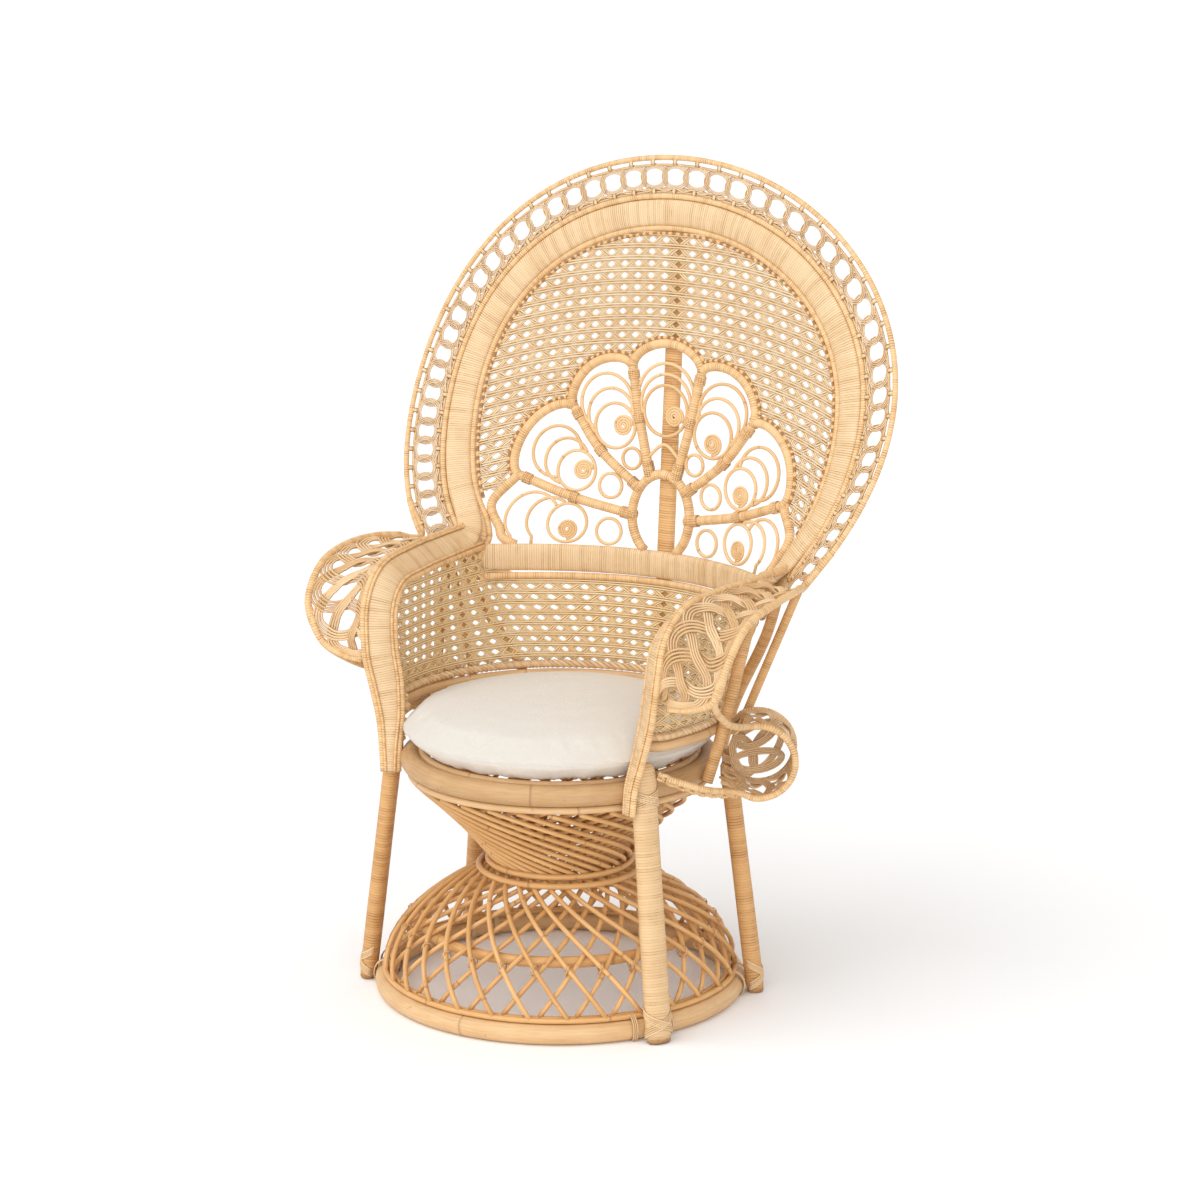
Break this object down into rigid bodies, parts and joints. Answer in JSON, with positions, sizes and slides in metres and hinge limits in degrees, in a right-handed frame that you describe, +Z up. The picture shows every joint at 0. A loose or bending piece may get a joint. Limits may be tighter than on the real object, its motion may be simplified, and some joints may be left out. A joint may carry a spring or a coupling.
{
  "type": "peacock chair",
  "caption": "Rattan peacock chair: a pedestal of crossing rods, a round seat with a loose cushion, lace arms and a tall oval fan back of cane with an open petal motif.",
  "frame": {"origin": "on the floor under the middle of the chair's box", "axes": "+Z up, +X to the right as seen from the front, the seat faces -Y"},
  "size_m": [0.9286, 0.659, 1.32],
  "materials": {
    "pole": "smooth bare rattan pole, satin",
    "wound": "pole wound with split cane, satin",
    "cane": "woven and plaited cane, satin",
    "linen": "plain woven linen, matt"
  },
  "bodies": {
    "chair": {"base_ring": "pole", "twist_rods_outer": "pole", "twist_rods_inner": "pole", "inner_hoop": "pole", "waist_ring_lower": "pole", "waist_ring_upper": "pole", "seat_ring": "pole", "seat_under_rod": "pole", "seat_top_rod": "pole", "seat_deck": "cane", "front_leg_right": "wound", "front_leg_left": "wound", "rear_leg_right": "wound", "rear_leg_left": "wound", "fan_rim": "wound", "fan_outer_rod": "wound", "fan_band": "wound", "fan_inner_rod": "wound", "fringe_chain": "cane", "motif_frame": "wound", "sill": "wound", "petal_scroll_low_right": "wound", "petal_scroll_low_left": "wound", "petal_scroll_mid_right": "wound", "petal_scroll_mid_left": "wound", "petal_scroll_high_right": "wound", "petal_scroll_high_left": "wound", "petal_scroll_top": "wound", "small_ring_low_right": "wound", "small_ring_low_left": "wound", "small_ring_mid_right": "wound", "small_ring_mid_left": "wound", "small_ring_high_right": "wound", "small_ring_high_left": "wound", "fan_cane": "cane", "arm_band_right": "wound", "arm_band_left": "wound", "arm_outer_rod_right": "wound", "arm_outer_rod_left": "wound", "arm_inner_rod_right": "wound", "arm_inner_rod_left": "wound", "wall_rail": "pole", "wall_border": "cane", "wall_cane": "cane", "waist_rod": "wound", "centre_post": "wound", "side_post_right": "wound", "side_post_left": "wound", "rear_post_right": "wound", "rear_post_left": "wound", "wing_lace_right": "cane", "wing_lace_left": "cane", "wing_rim_right": "wound", "wing_rim_left": "wound", "roll_lace_right": "cane", "roll_lace_left": "cane"},
    "cushion": {"cushion": "linen"}
  },
  "joints": [
    {"name": "cushion_lift", "type": "slide", "parent": "chair", "child": "cushion", "axis": [0, 0, 1], "range_m": [0, 0.3]}
  ]
}
